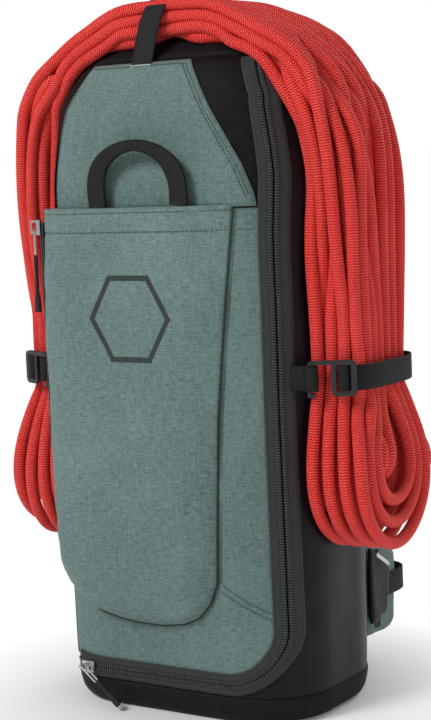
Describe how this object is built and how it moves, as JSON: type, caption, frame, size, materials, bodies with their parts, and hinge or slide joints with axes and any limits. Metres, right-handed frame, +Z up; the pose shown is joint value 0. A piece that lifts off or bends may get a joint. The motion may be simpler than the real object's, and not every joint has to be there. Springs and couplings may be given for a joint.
{
  "type": "rope storage bag",
  "caption": "Tall crag backpack with a full-length zipped front door, front pocket and haul handle, and a coiled rope strapped over its crown and down both sides.",
  "frame": {"origin": "centre of the base, on the face that the bag stands on", "axes": "+Z up, -Y out of the door and front pocket, +Y towards the wearer's back, +X to the right of the door seen from the front"},
  "size_m": [0.3436, 0.2619, 0.5748],
  "materials": {
    "ripstop": "heather ripstop",
    "ripstop_dark": "ripstop",
    "coated_black": "coated, satin",
    "matte_black": "woven",
    "base_fabric": "coarse woven, hard wearing",
    "webbing": "woven webbing",
    "zip_tape": "zip tape with moulded teeth",
    "padding": "padded spacer mesh",
    "moulded": "moulded, satin",
    "frame_sheet": "sheet",
    "silver": "polished",
    "pull_cord": "cord with a moulded grip",
    "label": "woven tab",
    "print": "printed",
    "rope": "braided, with light flecks"
  },
  "bodies": {
    "pack": {"base_floor": "coated_black", "base_rim": "base_fabric", "front_sill": "coated_black", "side_panel_right": "coated_black", "side_panel_left": "coated_black", "back_panel": "padding", "top_cap": "matte_black", "rear_strip_right": "ripstop", "rear_strip_left": "ripstop", "frame_sheet": "frame_sheet", "gear_rail": "webbing", "body_zip_tape": "zip_tape", "back_pad_right": "padding", "back_pad_left": "padding", "harness_yoke": "padding", "rear_haul_loop": "webbing", "rope_strap": "webbing", "rope_strap_buckle": "moulded", "rope_strap_anchor": "webbing", "hook_anchor_right": "webbing", "hook_anchor_left": "webbing", "lower_webbing_right": "webbing", "lower_webbing_left": "webbing", "rope_arch": "rope", "rope_run_right": "rope", "rope_run_left": "rope", "rope_loops_right": "rope", "rope_loops_left": "rope"},
    "door": {"door_panel": "ripstop", "front_flap": "ripstop", "front_pocket": "ripstop", "printed_emblem": "print", "size_tab": "label", "door_zip_tape": "zip_tape", "pocket_zip_tape": "zip_tape"},
    "handle": {"haul_handle": "webbing"},
    "main_slider": {"main_zip_slider": "silver"},
    "main_pull": {"main_pull_wire": "silver", "main_pull_cord": "pull_cord"},
    "pocket_slider": {"pocket_zip_slider": "silver"},
    "pocket_pull": {"pocket_pull_wire": "silver", "pocket_pull_cord": "pull_cord"},
    "right_hook": {"hook_right": "moulded", "hook_strap_right": "webbing"},
    "left_hook": {"hook_left": "moulded", "hook_strap_left": "webbing"},
    "right_wing": {"hip_wing_right": "ripstop_dark", "wing_cover_right": "coated_black", "hip_webbing_right": "webbing", "hip_buckle_socket": "moulded"},
    "left_wing": {"hip_wing_left": "ripstop_dark", "wing_cover_left": "coated_black", "hip_webbing_left": "webbing", "hip_buckle_plug": "moulded"},
    "harness": {"shoulder_strap_right": "padding", "shoulder_strap_left": "padding", "ladder_lock_right": "moulded", "ladder_lock_left": "moulded", "sternum_strap_right": "webbing", "sternum_strap_left": "webbing"}
  },
  "joints": [
    {"name": "door_hinge", "type": "hinge", "parent": "pack", "child": "door", "pos_m": [-0.11164, -0.05397, 0.27], "axis": [0, 0, -1], "range_deg": [0, 70]},
    {"name": "haul_handle_swing", "type": "hinge", "parent": "door", "child": "handle", "pos_m": [-0.001, -0.091, 0.412], "axis": [1, 0, 0], "range_deg": [0, 85]},
    {"name": "main_zip_slide", "type": "slide", "parent": "door", "child": "main_slider", "axis": [1, 0, 0], "range_m": [0, 0.12]},
    {"name": "main_zip_pull_swing", "type": "hinge", "parent": "main_slider", "child": "main_pull", "pos_m": [-0.076, -0.0908, 0.032], "axis": [-1, 0, 0], "range_deg": [0, 60]},
    {"name": "pocket_zip_slide", "type": "slide", "parent": "door", "child": "pocket_slider", "axis": [0, 0, -1], "range_m": [0, 0.16]},
    {"name": "pocket_zip_pull_swing", "type": "hinge", "parent": "pocket_slider", "child": "pocket_pull", "pos_m": [-0.10953, -0.08538, 0.3926], "axis": [-0.5446, 0.8387, 0], "range_deg": [0, 60]},
    {"name": "right_hook_lift", "type": "slide", "parent": "pack", "child": "right_hook", "axis": [0, 0, 1], "range_m": [0, 0.028]},
    {"name": "left_hook_lift", "type": "slide", "parent": "pack", "child": "left_hook", "axis": [0, 0, 1], "range_m": [0, 0.028]},
    {"name": "right_wing_swing", "type": "hinge", "parent": "pack", "child": "right_wing", "pos_m": [0.096, 0.072, 0.074], "axis": [0, 0, -1], "range_deg": [-10, 60]},
    {"name": "left_wing_swing", "type": "hinge", "parent": "pack", "child": "left_wing", "pos_m": [-0.096, 0.072, 0.074], "axis": [0, 0, 1], "range_deg": [-10, 60]},
    {"name": "harness_swing", "type": "hinge", "parent": "pack", "child": "harness", "pos_m": [0, 0.0956, 0.452], "axis": [1, 0, 0], "range_deg": [0, 25]}
  ]
}
